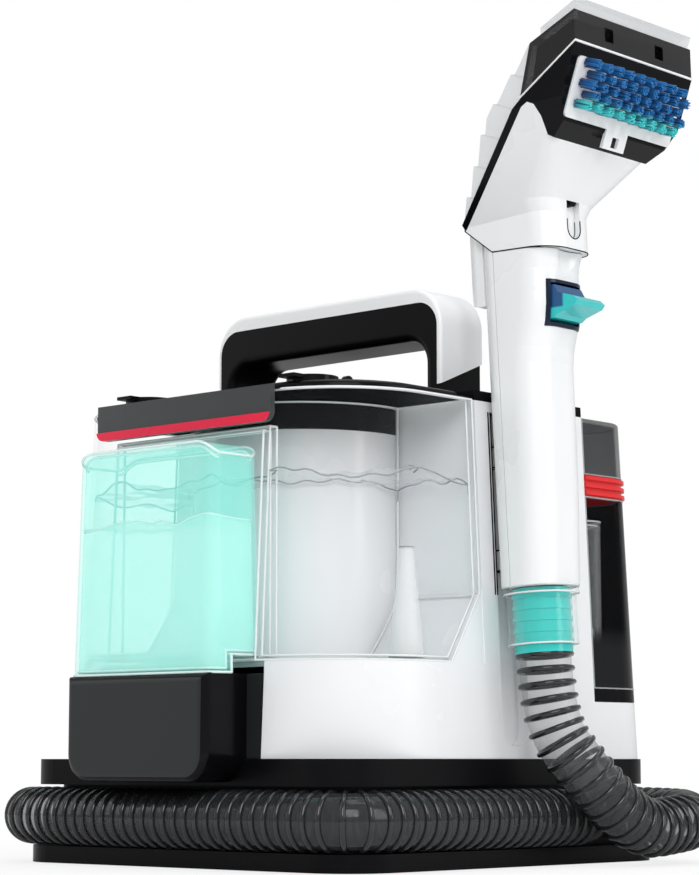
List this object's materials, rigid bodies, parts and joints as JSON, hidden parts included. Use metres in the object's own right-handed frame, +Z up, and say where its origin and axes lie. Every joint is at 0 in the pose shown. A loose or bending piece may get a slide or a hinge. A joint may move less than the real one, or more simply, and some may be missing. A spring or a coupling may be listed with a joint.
{
  "type": "portable carpet cleaner",
  "caption": "Portable carpet and upholstery cleaner with lift-off tanks, a carry handle, a ribbed suction hose round its base and a docked hand tool with a brush.",
  "frame": {"origin": "centre of the flat underside of the base tray", "axes": "+X to the machine's right side where the hand tool is docked, +Y to its back, +Z up"},
  "size_m": [0.3902, 0.3375, 0.4817],
  "materials": {
    "white_shell": "satin moulded plastic",
    "black_plastic": "fine matt moulded plastic",
    "black_gloss": "polished black plastic",
    "grip_black": "satin soft-touch plastic",
    "handle_silver": "satin silver lacquer over plastic",
    "band_grey": "polished dark grey plastic",
    "accent_red": "polished red plastic",
    "seal_red": "smooth silicone rubber",
    "foot_rubber": "matt rubber",
    "screw_steel": "zinc plated",
    "button_grey": "satin grey plastic",
    "clear_plastic": "clear moulded plastic",
    "aqua_plastic": "clear aqua tinted plastic",
    "smoke_plastic": "smoked clear plastic",
    "teal_plastic": "translucent teal plastic",
    "bezel_blue": "polished dark blue plastic",
    "hose_smoke": "smoky translucent vinyl with dark ribs",
    "bristle_blue": "nylon filament",
    "motor_steel": "pressed steel can",
    "fan_aluminium": "pressed sheet",
    "board_green": "printed circuit board"
  },
  "bodies": {
    "chassis": {"base_tray": "black_plastic", "anti_slip_feet": "foot_rubber", "base_screws": "screw_steel", "base_band": "black_plastic", "lower_housing": "white_shell", "main_housing": "white_shell", "column_cap": "black_plastic", "top_deck": "black_plastic", "power_switch": "black_plastic", "front_pedestal": "black_gloss", "cord_gland": "black_plastic", "tool_dock": "white_shell", "handle_cover": "handle_silver", "handle_grip": "grip_black", "motor_mount": "foot_rubber", "fan_shroud": "black_plastic", "suction_motor": "motor_steel", "water_pump": "black_plastic", "control_board": "board_green", "suction_duct": "black_plastic", "hose_port": "black_plastic", "hose_wrap": "hose_smoke", "hose_riser": "hose_smoke", "hose_swivel": "teal_plastic", "hose_collar": "clear_plastic", "tool_grip_front": "white_shell", "tool_grip_back": "white_shell", "trigger_bezel": "bezel_blue", "trigger_pin": "screw_steel", "tool_head": "white_shell", "spray_nozzle": "black_plastic", "nozzle_box": "black_gloss", "nozzle_hood": "smoke_plastic", "nozzle_cover": "clear_plastic", "head_trim": "white_shell", "nozzle_lip": "clear_plastic"},
    "clean_tank": {"clean_tank": "clear_plastic", "standpipe": "clear_plastic", "water_valve": "black_plastic", "tank_lid": "black_gloss", "lid_band": "band_grey", "accent_strip": "accent_red"},
    "fill_cap_left": {"fill_cap_left": "black_plastic"},
    "fill_cap_right": {"fill_cap_right": "black_plastic"},
    "solution_tank": {"solution_tank": "aqua_plastic", "solution_cap": "teal_plastic"},
    "recovery_tank": {"recovery_base": "black_plastic", "recovery_tank": "smoke_plastic", "recovery_seal": "seal_red", "recovery_lid": "smoke_plastic", "separator_tube": "clear_plastic"},
    "shutoff_float": {"shutoff_float": "white_shell"},
    "fan": {"fan_impeller": "fan_aluminium"},
    "power_button": {"power_button": "button_grey"},
    "trigger": {"trigger": "teal_plastic"},
    "brush": {"brush_plate": "white_shell", "brush_bristles": "bristle_blue"}
  },
  "joints": [
    {"name": "clean_tank_lift", "type": "slide", "parent": "chassis", "child": "clean_tank", "axis": [0, 0, 1], "range_m": [0, 0.1]},
    {"name": "fill_cap_left_hinge", "type": "hinge", "parent": "clean_tank", "child": "fill_cap_left", "pos_m": [-0.068, -0.081, 0.2762], "axis": [-1, 0, 0], "range_deg": [0, 100]},
    {"name": "fill_cap_right_hinge", "type": "hinge", "parent": "clean_tank", "child": "fill_cap_right", "pos_m": [0.068, -0.081, 0.2762], "axis": [-1, 0, 0], "range_deg": [0, 100]},
    {"name": "solution_tank_pull", "type": "slide", "parent": "chassis", "child": "solution_tank", "axis": [0, -1, 0], "range_m": [0, 0.08]},
    {"name": "recovery_tank_lift", "type": "slide", "parent": "chassis", "child": "recovery_tank", "axis": [0, 0, 1], "range_m": [0, 0.15]},
    {"name": "shutoff_float_rise", "type": "slide", "parent": "recovery_tank", "child": "shutoff_float", "axis": [0, 0, 1], "range_m": [0, 0.04]},
    {"name": "fan_spin", "type": "hinge", "parent": "chassis", "child": "fan", "pos_m": [0, -0.036, 0.14], "axis": [0, 0, 1], "continuous": true},
    {"name": "power_button_press", "type": "slide", "parent": "chassis", "child": "power_button", "axis": [0, 0, -1], "range_m": [0, 0.003], "stiffness_N_per_m": 600},
    {"name": "trigger_squeeze", "type": "hinge", "parent": "chassis", "child": "trigger", "pos_m": [0.16533, 0.004, 0.32905], "axis": [0, 1, 0], "range_deg": [0, 10], "stiffness_Nm_per_rad": 0.6},
    {"name": "brush_release", "type": "slide", "parent": "chassis", "child": "brush", "axis": [0.9419, 0, -0.3358], "range_m": [0, 0.03]}
  ]
}
